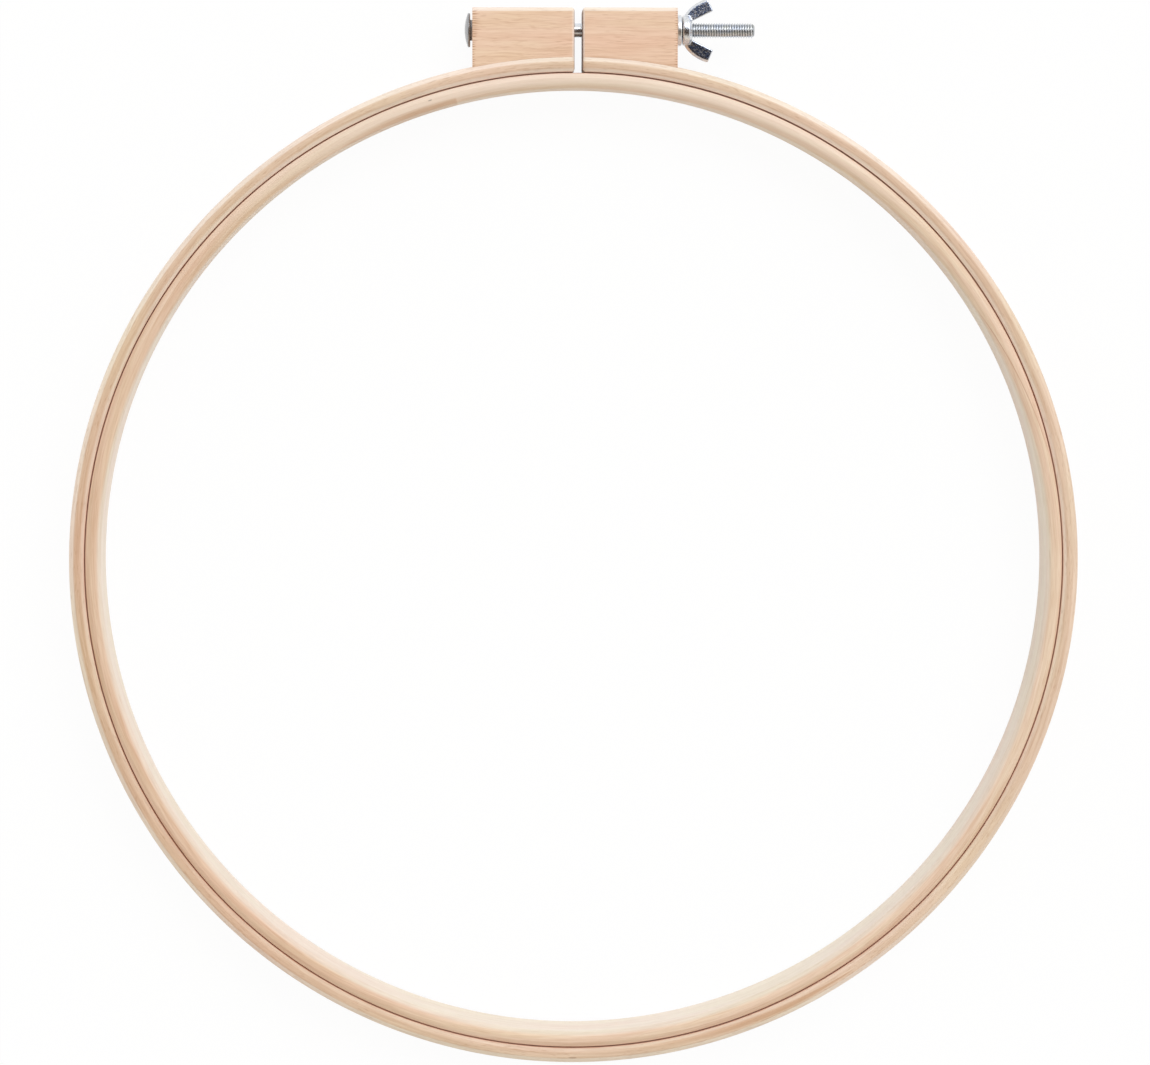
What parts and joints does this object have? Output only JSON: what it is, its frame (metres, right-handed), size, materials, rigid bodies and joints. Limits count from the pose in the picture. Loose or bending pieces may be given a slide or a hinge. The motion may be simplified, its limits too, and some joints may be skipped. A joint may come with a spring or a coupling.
{
  "type": "embroidery hoop",
  "caption": "Wooden embroidery hoop: a closed inner ring inside a split outer ring with glued clamp blocks, drawn together by a carriage bolt, washer and wing nut.",
  "frame": {"origin": "under the middle of the whole hoop, clamp included, in the plane of the back face on which the hoop lies; the rings' own axis is 11.4 mm from it towards -Y", "axes": "+Z along the rings' axis from the back face to the front, +Y towards the clamp, +X along the bolt towards its thread and the wing nut"},
  "size_m": [0.392, 0.4148, 0.024],
  "materials": {
    "ring_wood": "bare beech, sanded, grain along the ring",
    "block_wood": "bare beech, planed, grain along the bolt",
    "zinc_steel": "bright zinc plating"
  },
  "bodies": {
    "outer_frame": {"outer_ring": "ring_wood", "left_block": "block_wood", "carriage_bolt": "zinc_steel"},
    "clamp_end": {"right_block": "block_wood"},
    "washer": {"washer": "zinc_steel"},
    "wing_nut": {"wing_nut": "zinc_steel"},
    "inner_ring": {"inner_ring": "ring_wood"}
  },
  "joints": [
    {"name": "nut_spin", "type": "hinge", "parent": "clamp_end", "child": "wing_nut", "pos_m": [0.044, 0.1951, 0.012], "axis": [1, 0, 0], "range_deg": [0, 4320]},
    {"name": "clamp_opening", "type": "slide", "parent": "outer_frame", "child": "clamp_end", "axis": [1, 0, 0], "range_m": [0, 0.012]},
    {"name": "washer_spin", "type": "hinge", "parent": "clamp_end", "child": "washer", "pos_m": [0.0406, 0.1951, 0.012], "axis": [1, 0, 0], "continuous": true},
    {"name": "ring_lift", "type": "slide", "parent": "outer_frame", "child": "inner_ring", "axis": [0, 0, 1], "range_m": [0, 0.04]}
  ],
  "couplings": [
    {"joint": "clamp_opening", "follows": "nut_spin", "m_per_rad": 0.00015915}
  ]
}
